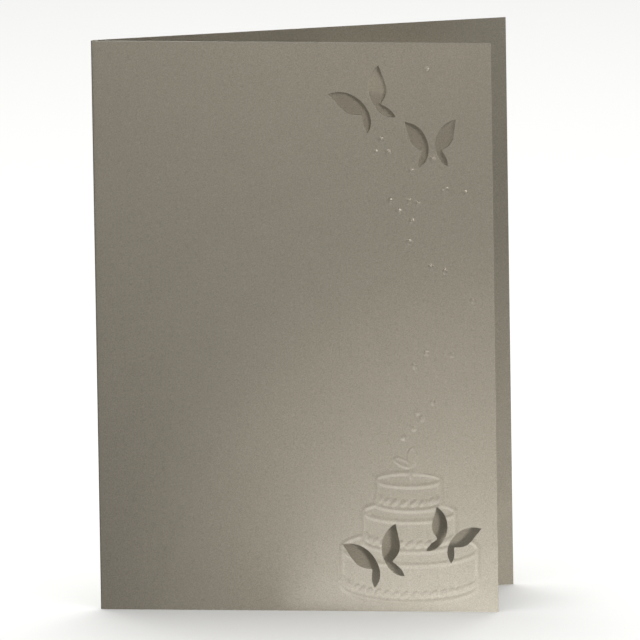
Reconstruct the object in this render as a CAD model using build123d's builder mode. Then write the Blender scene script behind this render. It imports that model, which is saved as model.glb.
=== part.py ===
"""Greeting card: one folded sheet with die-cut butterflies and a blind-embossed tiered cake."""
from build123d import *
from math import cos, pi, radians, sin
import os

# The sheet is folded once and stands open on its lower edges, the front leaf towards -Y. The
# front leaf is cut short at its free edge, so that a strip of the back leaf shows beside it.
card_height = 178.0
back_width = 127.0
front_setback = 6.0
card_thickness = 0.35
fold_radius = 0.3
opening_angle = 14.0

# Embossing: the card is pressed forward from the inside, so all that is raised is hollow
# behind, with this much wall left on each side of the hollow.
emboss_height = 0.2
emboss_wall = 0.25
ridge_width = 1.2

# The cake is drawn as if seen a little from above. Each tier is the half width and half depth
# of its oval top, the height of that top above the card's lower edge, and the drop of its side.
cake_from_free_edge = 26.7
top_tier = (9.7, 2.1, 41.4, 7.6)
middle_tier = (13.9, 3.1, 31.3, 9.5)
bottom_tier = (20.7, 5.3, 19.8, 11.6)

# Shell piping runs round the foot of each tier: slanted lozenges, side by side.
shell_length = 2.8
shell_breadth = 1.4
shell_slant = 50.0
shell_pitch = 3.0
shell_lift = 2.3

# The sprout on the cake: a stem with one petal upright and one lying to the left. Each petal
# is its length, its breadth and its turn to the left from lying to the right.
sprout_across = 0.7
stem_length = 4.2
stem_width = 0.9
upright_petal = (5.6, 2.2, 84.0)
lying_petal = (5.3, 1.9, 154.0)

# Beads drift down from the upper butterflies to the cake. Each place is measured sideways
# from the middle of the cake, then down from the card's top edge or up from the cake's top.
bead_radius = 0.7
bead_sides = 12
upper_beads = [
    (7.2, 8.6), (-6.7, 30.3), (-4.7, 34.3), (-8.4, 34.1), (8.8, 36.4), (2.2, 40.0),
    (11.7, 46.2), (12.7, 45.8), (18.3, 46.8), (-4.2, 49.5), (1.4, 49.4), (3.9, 50.2),
    (-1.7, 52.7), (2.0, 55.7), (1.2, 62.2), (7.7, 70.1), (11.9, 71.3), (20.2, 80.4),
]
lower_beads = [
    (5.9, 39.7), (13.8, 39.3), (2.1, 35.6), (7.6, 24.3), (2.9, 21.1), (4.2, 19.1),
    (1.7, 16.0), (-1.4, 13.2),
]

# One side of a butterfly, in millimetres from its waist at full size, with its head up: three
# points joined by curves, each with the two handles that it leaves and reaches them by.
wing_tip = (8.9, 9.9)
hind_tip = (5.0, -6.5)
wing_notch = (3.5, -0.7)
body_edge = [(-0.3, 8.5), (-1.0, -4.5)]
hind_edge = [(5.5, -3.1), (3.0, -1.3)]
fore_edge = [(8.1, 1.6), (7.4, 2.8)]

# Each butterfly: sideways from the cake's middle, down from the card's top edge or up from
# its lower edge, turn to the left in degrees, and size.
upper_butterflies = [(-10.0, 20.1, 30.5, 1.0), (8.5, 32.9, 3.0, 0.88)]
lower_butterflies = [(-8.7, 15.2, 22.0, 0.99), (11.3, 22.1, -27.0, 0.85)]

# The leaves meet in a round fold, and the sheet's box is centred on the origin.
front_width = back_width - front_setback
outer_fold_radius = fold_radius + card_thickness
front_flat = front_width - outer_fold_radius
back_flat = back_width - outer_fold_radius
lean = radians(opening_angle / 2)
fold_x = (outer_fold_radius - back_flat * cos(lean) + fold_radius * sin(lean)) / 2
fold_y = (front_flat - back_flat) * sin(lean) / 2
fold_axis = Vector(fold_x, fold_y)

# The front leaf's outer face: across from the fold, up from the lower edge, facing out.
front_across = Vector(cos(lean), -sin(lean))
front_out = Vector(-sin(lean), -cos(lean))
front_face = Plane(
    origin=fold_axis + (front_out - front_across) * outer_fold_radius,
    x_dir=front_across,
    z_dir=front_out,
)
front_inside = front_face.offset(-card_thickness)
cake_middle = front_width - cake_from_free_edge
cake_top = top_tier[2]


def cake_lines(inset):
    """The outlines of the tiers, drawn from the lowest up so that each hides what is behind it."""
    half_line = ridge_width / 2 - inset
    with BuildSketch() as lines:
        for half_width, half_depth, top, side in (bottom_tier, middle_tier, top_tier):
            for grow, mode in ((half_line, Mode.ADD), (-half_line, Mode.SUBTRACT)):
                with Locations((cake_middle, top - side / 2)):
                    Rectangle(2 * (half_width + grow), side, mode=mode)
                with Locations((cake_middle, top), (cake_middle, top - side)):
                    Ellipse(half_width + grow, half_depth + grow, mode=mode)
            with Locations((cake_middle, top)):
                Ellipse(half_width + half_line, half_depth + half_line)
                Ellipse(half_width - half_line, half_depth - half_line, mode=Mode.SUBTRACT)
    return lines.sketch


def shell_places(tier):
    """Places of the piped shells, evenly spaced round the front of a tier."""
    half_width, half_depth, top, side = tier
    count = round(pi * half_width / shell_pitch)
    middle = top - side + shell_lift
    places = []
    for shell in range(count):
        turn = pi * (1 + (shell + 0.5) / count)
        places.append((cake_middle + half_width * cos(turn), middle + half_depth * sin(turn)))
    return places


def piping(inset):
    """The piped shells of all the tiers."""
    half_length = shell_length / 2 - 2 * inset
    half_breadth = shell_breadth / 2 - inset
    with BuildSketch() as shells:
        for tier in (top_tier, middle_tier, bottom_tier):
            with Locations(*[Location(place, shell_slant) for place in shell_places(tier)]):
                Polygon((-half_length, 0), (0, -half_breadth), (half_length, 0), (0, half_breadth))
    return shells.sketch


def sprout(inset):
    """A stem with two oval petals, standing near the middle of the cake's top."""
    stem = cake_middle + sprout_across
    with BuildSketch() as shape:
        with Locations((stem, cake_top + stem_length / 2)):
            Rectangle(stem_width - 2 * inset, stem_length)
        for length, breadth, turn in (upright_petal, lying_petal):
            with Locations(Location((stem, cake_top + stem_length), turn)):
                with Locations((length / 2, 0)):
                    Ellipse(length / 2 - inset, breadth / 2 - inset)
    return shape.sketch


def beads(inset):
    """The beads of the trail, close to round."""
    places = [(cake_middle + across, card_height - drop) for across, drop in upper_beads]
    places += [(cake_middle + across, cake_top + rise) for across, rise in lower_beads]
    with BuildSketch() as trail:
        with Locations(*places):
            RegularPolygon(bead_radius - inset, bead_sides)
    return trail.sketch


def embossing(inset):
    """Everything that is pressed forward, drawn smaller by the inset for its hollow."""
    with BuildSketch() as raised:
        add(cake_lines(inset))
        add(piping(inset))
        add(sprout(inset))
        add(beads(inset))
    return raised.sketch


with BuildSketch() as wings:
    with BuildLine():
        Bezier(wing_tip, *body_edge, hind_tip)
        Bezier(hind_tip, *hind_edge, wing_notch)
        Bezier(wing_notch, *fore_edge, wing_tip)
    make_face()
    mirror(about=Plane.YZ)

with BuildPart() as folded_card:
    with BuildSketch():
        with BuildLine():
            fold = CenterArc(
                fold_axis,
                fold_radius + card_thickness / 2,
                90 + opening_angle / 2,
                180 - opening_angle,
            )
            Line(fold @ 0, fold @ 0 + Vector(cos(lean), sin(lean)) * back_flat)
            Line(fold @ 1, fold @ 1 + front_across * front_flat)
        trace(line_width=card_thickness)
    extrude(amount=card_height)

    with BuildSketch(front_face):
        add(embossing(0))
    extrude(amount=emboss_height)
    with BuildSketch(front_inside):
        add(embossing(emboss_wall))
    extrude(amount=emboss_height, mode=Mode.SUBTRACT)

    with BuildSketch(front_face):
        for across, drop, turn, size in upper_butterflies:
            with Locations(Location((cake_middle + across, card_height - drop), turn)):
                add(scale(wings.sketch, by=size, mode=Mode.PRIVATE))
        for across, rise, turn, size in lower_butterflies:
            with Locations(Location((cake_middle + across, rise), turn)):
                add(scale(wings.sketch, by=size, mode=Mode.PRIVATE))
    extrude(amount=card_thickness + emboss_height, both=True, mode=Mode.SUBTRACT)

folded_card.part.label = "folded_card"

os.makedirs("parts", exist_ok=True)
export_step(folded_card.part, "parts/folded_card.step")
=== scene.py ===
# %% [markdown]
# # A folded greeting card, die-cut and blind-embossed
#
# The card is one sheet of pearl card. Four butterflies are cut out of its front leaf, and a tiered
# cake with a trail of beads is pressed into it from behind, with no ink. This lesson makes it in the
# order of the real one: a flat blank is cut and pressed first, and it is folded last. Everything is
# modelled flat in millimetres, because flat drawings are easy to read, and the fold then turns the
# finished blank into the standing card, in metres.

# %% Load the frame
from math import cos, pi, radians, sin, sqrt

import bmesh
import bpy
from mathutils import Matrix, Vector


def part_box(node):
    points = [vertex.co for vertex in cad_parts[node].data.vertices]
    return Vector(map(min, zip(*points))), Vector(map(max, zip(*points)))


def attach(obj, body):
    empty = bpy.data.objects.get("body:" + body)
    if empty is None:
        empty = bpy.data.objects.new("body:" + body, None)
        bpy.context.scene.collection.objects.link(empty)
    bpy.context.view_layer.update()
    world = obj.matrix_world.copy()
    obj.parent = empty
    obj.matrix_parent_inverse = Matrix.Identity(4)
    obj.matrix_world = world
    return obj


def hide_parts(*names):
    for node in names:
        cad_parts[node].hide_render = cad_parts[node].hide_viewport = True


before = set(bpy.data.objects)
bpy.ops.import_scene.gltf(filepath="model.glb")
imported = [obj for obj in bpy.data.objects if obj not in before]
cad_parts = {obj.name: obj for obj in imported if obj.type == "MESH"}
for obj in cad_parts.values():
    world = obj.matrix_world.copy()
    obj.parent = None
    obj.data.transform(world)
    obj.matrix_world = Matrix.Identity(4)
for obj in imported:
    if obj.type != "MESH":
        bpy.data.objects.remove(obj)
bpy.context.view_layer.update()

MM = 0.001
card_low, card_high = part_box("folded_card")
print("card in the frame, mm:", [round(side / MM, 2) for side in card_high - card_low])

# %% [markdown]
# ## The sheet
#
# A card maker thinks of the blank as two flat leaves with a narrow strip between them that becomes
# the fold. Lengths along a bend are measured in the middle of the thickness, where the card neither
# stretches nor shrinks. The front leaf is a little narrower than the back one, so a strip of the
# inside shows beside it. Across the blank, zero is the middle of the fold, and the front leaf is on
# the positive side, with its outer face up.

# %% Sizes of the sheet, in millimetres
back_width = 127.0
front_width = 121.0
card_thickness = 0.35
fold_radius = 0.3
opening_angle = 14.0

card_height = (card_high.z - card_low.z) / MM
outer_fold_radius = fold_radius + card_thickness
middle_radius = fold_radius + card_thickness / 2
half_turn = radians(180 - opening_angle) / 2
half_fold = middle_radius * half_turn
front_end = half_fold + front_width - outer_fold_radius
back_end = half_fold + back_width - outer_fold_radius
print("flat blank, mm:", round(front_end + back_end, 2), "x", round(card_height, 2))

# %% [markdown]
# ## The drawing that is pressed into the card
#
# Blind embossing squeezes the damp card between a raised and a hollow die, so the drawing stands out
# as rounded lines and drops, and the same shapes are hollow inside the card. A displacement picture
# could hold such a relief, but here it is a few formulas: how high the card is pressed at a place.
# Each tier of the cake is an oval on a straight side, and what stands in front hides what is behind.
# Piped shells, beads and a stem are drops with a flat top, and the two petals have a raised rim.

# %% Sizes of the drawing, in millimetres
emboss_height = 0.2
line_width = 1.2
soft_edge = 0.5
drop_edge = 0.3

# Each tier, the highest first: half width and half depth of its oval top, height of that top above
# the card's lower edge, and drop of its side.
cake_from_free_edge = 26.7
cake_middle = front_end - cake_from_free_edge
tiers = [(9.7, 2.1, 41.4, 7.6), (13.9, 3.1, 31.3, 9.5), (20.7, 5.3, 19.8, 11.6)]
cake_top = tiers[0][2]

shell_length = 2.8
shell_breadth = 1.4
shell_slant = 50.0
shell_pitch = 3.0
shell_lift = 2.3

# Each bead: sideways from the cake's middle, then down from the card's top edge or up from the cake.
bead_radius = 0.7
upper_beads = [
    (7.2, 8.6), (-6.7, 30.3), (-4.7, 34.3), (-8.4, 34.1), (8.8, 36.4), (2.2, 40.0),
    (11.7, 46.2), (12.7, 45.8), (18.3, 46.8), (-4.2, 49.5), (1.4, 49.4), (3.9, 50.2),
    (-1.7, 52.7), (2.0, 55.7), (1.2, 62.2), (7.7, 70.1), (11.9, 71.3), (20.2, 80.4),
]
lower_beads = [
    (5.9, 39.7), (13.8, 39.3), (2.1, 35.6), (7.6, 24.3), (2.9, 21.1), (4.2, 19.1),
    (1.7, 16.0), (-1.4, 13.2),
]

# Each petal: length, breadth, and turn in degrees to the left from lying to the right. Inside its
# rim, a petal has this share of the full height.
sprout_across = 0.7
stem_length = 4.2
stem_width = 0.9
petals = [(5.6, 2.2, 84.0), (5.3, 1.9, 154.0)]
petal_rim = 0.6
petal_floor = 0.3

# %% Lines of the cake
# At the very middle of an oval, this keeps a division from being by zero.
tiny = 0.001


def oval_gap(x, y, half_width, half_depth):
    """How far a place is outside an oval's line, or inside it if negative."""
    reach = max(sqrt((x / half_width) ** 2 + (y / half_depth) ** 2), tiny)
    slope = sqrt((x / half_width**2) ** 2 + (y / half_depth**2) ** 2) / reach
    return (reach - 1) / max(slope, tiny)


def tier_gap(x, y, tier):
    """How far a place is outside the outline of a tier."""
    half_width, half_depth, top, side = tier
    if y > top:
        return oval_gap(x, y - top, half_width, half_depth)
    if y < top - side:
        return oval_gap(x, y - top + side, half_width, half_depth)
    return abs(x) - half_width


def ridge_rise(gap, half_width):
    """The share of the full height that a rounded ridge has at this gap from its middle."""
    return cos(pi / 2 * gap / half_width) ** 2 if abs(gap) < half_width else 0.0


def line_rise(gap, grow):
    """The share of the full height that a line of the cake has at this gap from its middle."""
    return ridge_rise(gap, line_width / 2 + soft_edge + grow)


def cake_rise(x, y, grow):
    """The lines of the tiers, the highest tier first, because it stands in front."""
    rise = 0.0
    for tier in tiers:
        half_width, half_depth, top, side = tier
        outline = tier_gap(x, y, tier)
        rise = max(rise, line_rise(outline, grow))
        if outline < line_width / 2 + soft_edge:
            rise = max(rise, line_rise(oval_gap(x, y - top, half_width, half_depth), grow))
        if outline < 0:
            break
    return rise


print("cake, mm:", 2 * tiers[-1][0], "wide and", cake_top + tiers[0][1], "up the card")


# %% Drops: piped shells, beads and petals
def shell_drops():
    """Slanted drops, evenly spaced round the front of each tier's foot."""
    drops = []
    for half_width, half_depth, top, side in tiers:
        count = round(pi * half_width / shell_pitch)
        for shell in range(count):
            turn = pi * (1 + (shell + 0.5) / count)
            place = (half_width * cos(turn), top - side + shell_lift + half_depth * sin(turn))
            drops.append((*place, shell_length / 2, shell_breadth / 2, radians(shell_slant)))
    return drops


def petal_drops():
    """Two petals that spread from the end of the stem."""
    drops = []
    for length, breadth, turn in petals:
        across = sprout_across + length / 2 * cos(radians(turn))
        up = cake_top + stem_length + length / 2 * sin(radians(turn))
        drops.append((across, up, length / 2, breadth / 2, radians(turn)))
    return drops


bead_places = [(across, card_height - down) for across, down in upper_beads]
bead_places += [(across, cake_top + up) for across, up in lower_beads]
bead_drops = [(*place, bead_radius, bead_radius, 0.0) for place in bead_places]
stem_drop = (sprout_across, cake_top + stem_length / 2, stem_length / 2, stem_width / 2, pi / 2)
drops = shell_drops() + [stem_drop] + bead_drops
rimmed_drops = petal_drops()


def own_place(x, y, drop):
    """A place measured from the middle of a drop, along it and aside from it."""
    across, up, half_length, half_breadth, turn = drop
    along = (x - across) * cos(turn) + (y - up) * sin(turn)
    aside = (y - up) * cos(turn) - (x - across) * sin(turn)
    return along, aside


def drop_rise(x, y, drop, grow):
    """The share of the full height that a drop has at a place: flat on top, with rounded shoulders."""
    along, aside = own_place(x, y, drop)
    half_length, half_breadth = drop[2:4]
    reach = drop_edge + grow
    outward = (along / (half_length + reach)) ** 2 + (aside / (half_breadth + reach)) ** 2
    return max(0.0, 1 - outward**2) ** 2


def rimmed_rise(x, y, drop, grow):
    """The share of the full height that a petal has at a place: a raised rim round a shallow dip."""
    along, aside = own_place(x, y, drop)
    half_length, half_breadth = drop[2:4]
    gap = max(oval_gap(along, aside, half_length, half_breadth), -half_breadth)
    return max(ridge_rise(gap, petal_rim + grow), petal_floor * drop_rise(x, y, drop, grow))


def pressed(x, y, grow=0.0):
    """The share of the full embossing height at a place on the blank, with each shape grown a little."""
    x -= cake_middle
    if abs(x) > tiers[-1][0] + line_width + grow:
        return 0.0
    rise = max(drop_rise(x, y, drop, grow) for drop in drops)
    rise = max(rise, *(rimmed_rise(x, y, drop, grow) for drop in rimmed_drops))
    if y < cake_top + tiers[0][1] + line_width + grow:
        rise = max(rise, cake_rise(x, y, grow))
    return rise


print("drops in the relief:", len(drops) + len(rimmed_drops))

# %% [markdown]
# ## The blank
#
# The mesh of the blank starts as a plain grid with wide squares. Columns are cut into it where the
# card will bend, and squares near the drawing are divided again and again, because only they have to
# show a fine shape. A grid that was fine all over would be many times heavier and look no different.
# The sheet then gets its thickness.

# %% Grid with fold columns
coarse_cell = 4.8
fold_columns = 12

blank = bmesh.new()
bmesh.ops.create_grid(
    blank,
    x_segments=round((front_end + back_end) / coarse_cell),
    y_segments=round(card_height / coarse_cell),
    size=0.5,
)
bmesh.ops.scale(blank, vec=(front_end + back_end, card_height, 1), verts=blank.verts)
bmesh.ops.translate(blank, vec=((front_end - back_end) / 2, card_height / 2, 0), verts=blank.verts)
for column in range(fold_columns + 1):
    across = half_fold * (2 * column / fold_columns - 1)
    everything = blank.verts[:] + blank.edges[:] + blank.faces[:]
    bmesh.ops.bisect_plane(blank, geom=everything, plane_co=(across, 0, 0), plane_no=(1, 0, 0))
print("coarse blank:", len(blank.faces), "faces")

# %% Finer squares near the drawing
halvings = 4
cell = coarse_cell
for halving in range(halvings):
    close = [face for face in blank.faces if pressed(*face.calc_center_median().xy, grow=cell) > 0]
    edges = list({edge for face in close for edge in face.edges})
    bmesh.ops.subdivide_edges(blank, edges=edges, cuts=1, use_grid_fill=True)
    cell /= 2
    print("squares of", round(cell, 2), "mm:", len(blank.faces), "faces")

# %% Thickness
bmesh.ops.solidify(blank, geom=blank.faces[:], thickness=card_thickness)
bmesh.ops.recalc_face_normals(blank, faces=blank.faces)
heights = [vert.co.z for vert in blank.verts]
bmesh.ops.translate(blank, vec=(0, 0, -(max(heights) + min(heights)) / 2), verts=blank.verts)
print("thickness, mm:", round(max(heights) - min(heights), 3))

# %% [markdown]
# ## The die-cut butterflies
#
# A steel rule die punches the wings out of the front leaf, clean through. One side of a butterfly is
# three points joined by curves, with a tip, a hind tip and a notch between the wings. Curve objects
# hold such an outline exactly, and a closed flat curve that is extruded is already the punch, so a
# Boolean can cut with it. The blank is cut while it is flat and unpressed, where the cut is simple.

# %% Outline of a wing, in millimetres from the butterfly's waist
wing_tip = (8.9, 9.9)
hind_tip = (5.0, -6.5)
wing_notch = (3.5, -0.7)
body_edge = [(-0.3, 8.5), (-1.0, -4.5)]
hind_edge = [(5.5, -3.1), (3.0, -1.3)]
fore_edge = [(8.1, 1.6), (7.4, 2.8)]
wing_points = [
    (wing_tip, fore_edge[1], body_edge[0]),
    (hind_tip, body_edge[1], hind_edge[0]),
    (wing_notch, hind_edge[1], fore_edge[0]),
]

# Each butterfly: sideways from the cake's middle, down from the card's top edge or up from its lower
# edge, turn to the left in degrees, and size.
upper_butterflies = [(-10.0, 20.1, 30.5, 1.0), (8.5, 32.9, 3.0, 0.88)]
lower_butterflies = [(-8.7, 15.2, 22.0, 0.99), (11.3, 22.1, -27.0, 0.85)]
butterflies = [(across, card_height - down, turn, size) for across, down, turn, size in upper_butterflies]
butterflies += lower_butterflies
punch_depth = 2.0
punch_steps = 20
print("butterflies:", len(butterflies), "of", len(wing_points), "curves on each side")


def add_wing(punch, side, place):
    """One wing pair of a butterfly, on its right side or, with side -1, mirrored to its left."""
    wing = punch.splines.new("BEZIER")
    wing.bezier_points.add(len(wing_points) - 1)
    wing.use_cyclic_u = True
    wing.resolution_u = punch_steps
    for point, spots in zip(wing.bezier_points, wing_points):
        point.handle_left_type = point.handle_right_type = "FREE"
        flat = [place @ Vector((side * x, y, 0)) for x, y in spots]
        point.co, point.handle_left, point.handle_right = flat


# %% Punch the wings out of the blank
def new_object(name, data):
    """An object at the origin, in the scene."""
    made = bpy.data.objects.new(name, data)
    bpy.context.scene.collection.objects.link(made)
    return made


def settled_mesh(item):
    """The mesh of an object with its modifiers and curves worked out."""
    return bpy.data.meshes.new_from_object(item.evaluated_get(bpy.context.evaluated_depsgraph_get()))


punch = bpy.data.curves.new("wing_punch", "CURVE")
punch.dimensions = "2D"
punch.fill_mode = "BOTH"
punch.extrude = punch_depth
for across, up, turn, size in butterflies:
    place = Matrix.Translation((cake_middle + across, up, 0)) @ Matrix.Rotation(radians(turn), 4, "Z")
    for side in (1, -1):
        add_wing(punch, side, place @ Matrix.Scale(size, 4))
punch_curve = new_object("wing_punch_curve", punch)
punch_body = new_object("wing_punch", settled_mesh(punch_curve))

card_mesh = bpy.data.meshes.new("embossed_card")
blank.to_mesh(card_mesh)
blank.free()
card = new_object("embossed_card", card_mesh)
cutting = card.modifiers.new("die_cut", "BOOLEAN")
cutting.operation = "DIFFERENCE"
cutting.solver = "EXACT"
cutting.object = punch_body
card.data = settled_mesh(card)
card.modifiers.clear()
for spent in (punch_body, punch_curve):
    bpy.data.objects.remove(spent)
print("cut blank:", len(card.data.polygons), "faces")

# %% [markdown]
# ## Pressing and folding
#
# Both faces of the card are lifted by the same amount, which is what the dies do, so each raised line
# is hollow behind. Then every point is carried round the fold: its distance along the sheet becomes
# a turn about the fold's axis as far as the bend reaches, and a straight run after that.

# %% Press the relief, fold the blank and stand it in the frame
lean = radians(opening_angle / 2)
fold_x = card_low.x / MM + outer_fold_radius
fold_y = (front_width - back_width) * sin(lean) / 2


def fold_point(across, up, out):
    """The place on the standing card, in metres, of a point on the flat blank."""
    turn = max(-half_turn, min(half_turn, across / middle_radius))
    run = across - turn * middle_radius
    radius = middle_radius + out
    x = fold_x - radius * cos(turn) + run * sin(turn)
    y = fold_y - radius * sin(turn) - run * cos(turn)
    return Vector((x, y, up)) * MM


highest = 0.0
sheet = bmesh.new()
sheet.from_mesh(card.data)
for vert in sheet.verts:
    across, up, out = vert.co
    rise = emboss_height * pressed(across, up)
    highest = max(highest, rise)
    vert.co = fold_point(across, up, out + rise)
bmesh.ops.recalc_face_normals(sheet, faces=sheet.faces)
sheet.to_mesh(card.data)
sheet.free()
print("highest pressing, mm:", round(highest, 3))

# %% Smooth shading that stops at the cut edges
cut_edge_angle = 50.0
for face in card.data.polygons:
    face.use_smooth = True
card.data.set_sharp_from_angle(angle=radians(cut_edge_angle))
triangles = sum(len(face.vertices) - 2 for face in card.data.polygons)
print("card:", triangles, "triangles")

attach(card, "root")
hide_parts("folded_card")

# %% [markdown]
# ## Pearl card
#
# Pearl card is paper that is coated with a thin layer of mica flakes in a binder. The flakes lie flat,
# so the sheet has a broad, soft shine in its own colour, between paper and metal, and a fine grain of
# lighter and darker flakes. A mix of half metal and a fairly rough surface gives that shine, and the
# grain is noise in colour, roughness and bump. Real flakes are a few hundredths of a millimetre wide,
# too fine to show here, so they are drawn as coarse as they need to be seen.


# %% Node and colour helpers
def linear(hex_colour):
    """A colour written as sRGB hex, in the linear values that shaders take."""
    levels = [int(hex_colour[place : place + 2], 16) / 255 for place in (1, 3, 5)]
    shares = [x / 12.92 if x <= 0.04045 else ((x + 0.055) / 1.055) ** 2.4 for x in levels]
    return (*shares, 1.0)


def add_node(tree, kind, inputs=None, **settings):
    """A node with its settings, and with each input set to a value or linked to a socket."""
    made = tree.nodes.new(kind)
    for name, value in settings.items():
        setattr(made, name, value)
    for name, value in (inputs or {}).items():
        if isinstance(value, bpy.types.NodeSocket):
            tree.links.new(value, made.inputs[name])
        else:
            made.inputs[name].default_value = value
    return made


def new_material(name):
    """A material with an empty node tree."""
    made = bpy.data.materials.new(name)
    made.use_nodes = True
    made.node_tree.nodes.clear()
    return made


def per_metre(size_mm):
    """A pattern's scale for a real size."""
    return 1 / (size_mm * MM)


# %% Pearl card material
flake_size = 0.35
cloud_size = 9.0
cloud_share = 0.06
tooth_depth = 0.012
tooth_strength = 0.35
dark_flakes = "#7d7769"
light_flakes = "#968f81"
dark_roughness = 0.5
light_roughness = 0.4
metal_share = 0.5

# The noise seldom leaves this range, so colour and gloss are spread over it.
noise_low = 0.3
noise_high = 0.7

pearl = new_material("mica_pearl_card")
tree = pearl.node_tree
place = add_node(tree, "ShaderNodeTexCoord").outputs["Object"]
flakes = add_node(
    tree,
    "ShaderNodeTexNoise",
    {"Vector": place, "Scale": per_metre(flake_size), "Detail": 3.0, "Roughness": 0.65},
)
clouds = add_node(
    tree, "ShaderNodeTexNoise", {"Vector": place, "Scale": per_metre(cloud_size), "Detail": 2.0}
)
mottle = add_node(
    tree,
    "ShaderNodeMix",
    {"Factor": cloud_share, 2: flakes.outputs["Fac"], 3: clouds.outputs["Fac"]},
    data_type="FLOAT",
)
tone = add_node(tree, "ShaderNodeValToRGB", {"Fac": mottle.outputs[0]})
ends = ((noise_low, dark_flakes), (noise_high, light_flakes))
for stop, (position, colour) in zip(tone.color_ramp.elements, ends):
    stop.position = position
    stop.color = linear(colour)
gloss = add_node(
    tree,
    "ShaderNodeMapRange",
    {
        "Value": flakes.outputs["Fac"],
        "From Min": noise_low,
        "From Max": noise_high,
        "To Min": dark_roughness,
        "To Max": light_roughness,
    },
)
tooth = add_node(
    tree,
    "ShaderNodeBump",
    {"Height": flakes.outputs["Fac"], "Strength": tooth_strength, "Distance": tooth_depth * MM},
)
coating = add_node(
    tree,
    "ShaderNodeBsdfPrincipled",
    {
        "Base Color": tone.outputs["Color"],
        "Metallic": metal_share,
        "Roughness": gloss.outputs["Result"],
        "Normal": tooth.outputs["Normal"],
    },
)
add_node(tree, "ShaderNodeOutputMaterial", {"Surface": coating.outputs["BSDF"]})
card.data.materials.clear()
card.data.materials.append(pearl)
print("material:", pearl.name, "with", len(tree.nodes), "nodes")

# %% [markdown]
# ## Floor, light and camera
#
# The card stands on a plain pale floor in soft studio light. Pearl shows every lamp, so the floor and
# the card are lit apart, and each lamp has one task. A large box overhead lights the floor alone. For
# the card, boxes behind it and at its right light the back and the inside. A small box in front, well
# above the card, draws thin shadows inside the upper wings, and a low one at the left lights the front
# leaf while the strip beside it stays in the leaf's shade. A small box low on the right reaches into
# the lower wings. Two flat lights on the floor stand for what a white table throws back, and give the
# sheen at the foot, and two faint ones between the leaves keep the inside from going black. The camera
# looks a little down, from far away with a long lens, because the leaf's edges are close to parallel.

# %% Floor
floor_size = 30.0
floor_mesh = bpy.data.meshes.new("floor")
ground = bmesh.new()
bmesh.ops.create_grid(ground, x_segments=1, y_segments=1, size=floor_size / 2)
ground.to_mesh(floor_mesh)
ground.free()
floor = new_object("floor", floor_mesh)
paper = new_material("matt_white_backdrop_paper")
surface = add_node(
    paper.node_tree,
    "ShaderNodeBsdfPrincipled",
    {"Base Color": linear("#eeeeec"), "Roughness": 0.9, "Specular IOR Level": 0.1},
)
add_node(paper.node_tree, "ShaderNodeOutputMaterial", {"Surface": surface.outputs["BSDF"]})
floor_mesh.materials.append(paper)
print("floor, m:", floor_size)

# %% Light of the room
room_colour = "#f4f4f6"
room_strength = 0.2
world = bpy.data.worlds.new("studio")
bpy.context.scene.world = world
world.use_nodes = True
room = world.node_tree.nodes["Background"]
room.inputs["Color"].default_value = linear(room_colour)
room.inputs["Strength"].default_value = room_strength
print("room light:", room_strength)


# %% Softboxes
def add_softbox(name, place, aim, size, power, spread):
    """A rectangular light that shines from one place towards another, in metres, watts and degrees."""
    lamp = bpy.data.lights.new(name, "AREA")
    lamp.shape = "RECTANGLE"
    lamp.size, lamp.size_y = size
    lamp.energy = power
    lamp.spread = radians(spread)
    made = new_object(name, lamp)
    towards = (Vector(aim) - Vector(place)).normalized()
    made.matrix_world = Matrix.Translation(place) @ towards.to_track_quat("-Z", "Y").to_matrix().to_4x4()
    made.visible_camera = False
    return made


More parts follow.
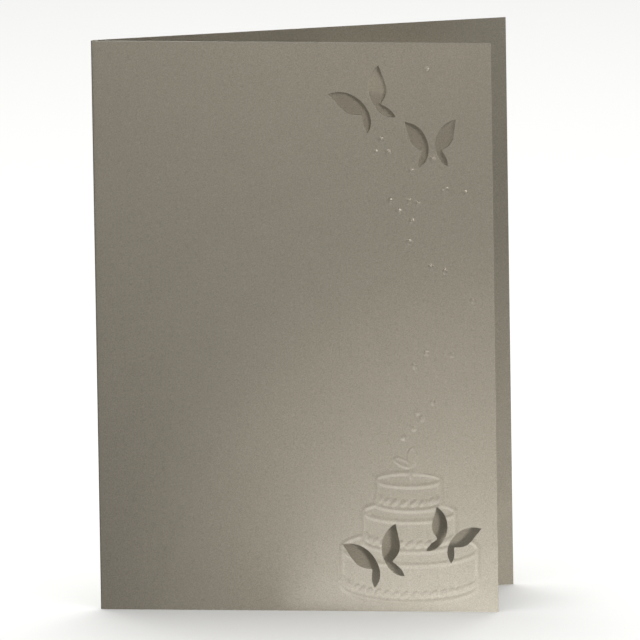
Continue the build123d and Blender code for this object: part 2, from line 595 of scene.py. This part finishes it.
# Each box: its place, a place that it points at, its width and height, power and spread.
floor_boxes = {
    "overhead_box": ((0, 0.15, 1.5), (0, 0.15, 0), (1.2, 1.2), 30.0, 180),
}
card_boxes = {
    "back_box": ((-0.3, 1.4, 0.35), (0, 0, 0.09), (0.6, 0.6), 11.0, 180),
    "right_box": ((1.1, 0.36, 0.3), (0.06, 0, 0.09), (0.5, 0.5), 25.0, 180),
    "deep_fill": ((0.01, -0.0004, 0.08), (-0.06, -0.0004, 0.08), (0.014, 0.13), 0.02, 50),
    "front_box": ((0.015, -2.88, 0.99), (0.02, 0, 0.33), (0.1, 0.1), 0.31, 12.6),
    "left_box": ((-1.09, -2.69, 0.05), (0.1, 0, 0.27), (0.1, 0.1), 0.34, 15),
    "inside_fill": ((0.03, -0.003, 0.147), (0.028, 0.017, 0.147), (0.046, 0.044), 0.0008, 60),
    "low_right_box": ((0.075, -0.597, 0.157), (0.06, -0.013, 0), (0.03, 0.03), 0.088, 23),
    "near_table_bounce": ((0.026, -0.0585, 0.0005), (0.026, 0, 1), (0.072, 0.085), 0.041, 180),
    "wide_table_bounce": ((0, -0.27, 0.0005), (0, 0, 1), (0.6, 0.5), 0.55, 180),
}
for group, item, boxes in (("lit_as_floor", floor, floor_boxes), ("lit_as_card", card, card_boxes)):
    receivers = bpy.data.collections.new(group)
    receivers.objects.link(item)
    for name, settings in boxes.items():
        add_softbox(name, *settings).light_linking.receiver_collection = receivers

# A glint of these two would wipe out the beads, so they give no shine.
for name in ("left_box", "low_right_box"):
    bpy.data.objects[name].visible_glossy = False

# The table's light is a little cool, and it stands in for the floor, which throws none on the card.
table_colour = "#eff5ff"
bpy.data.lights["near_table_bounce"].color = linear(table_colour)[:3]
floor.visible_diffuse = floor.visible_glossy = False
print("boxes:", len(floor_boxes), "for the floor and", len(card_boxes), "for the card")

# %% Camera
camera_azimuth = -2.12
camera_elevation = 15.05
camera_roll = 0.9
camera_distance = 8.0
camera_aim = Vector((4.84, 0, 88.82)) * MM
picture_side = 640
pixels_per_unit = 26435
sensor_width = 36.0
far_limit = 100.0

turn, climb = radians(camera_azimuth), radians(camera_elevation)
outward = Vector((sin(turn) * cos(climb), -cos(turn) * cos(climb), sin(climb)))
camera_data = bpy.data.cameras.new("camera")
camera_data.sensor_width = sensor_width
camera_data.lens = sensor_width * pixels_per_unit / picture_side
camera_data.clip_end = far_limit
camera = new_object("camera", camera_data)
upright = (-outward).to_track_quat("-Z", "Y").to_matrix().to_4x4()
level = Matrix.Rotation(-radians(camera_roll), 4, "Z")
camera.matrix_world = Matrix.Translation(camera_aim + outward * camera_distance) @ upright @ level
bpy.context.scene.camera = camera
bpy.context.scene.view_settings.view_transform = "Standard"
print("lens, mm:", round(camera_data.lens, 1))
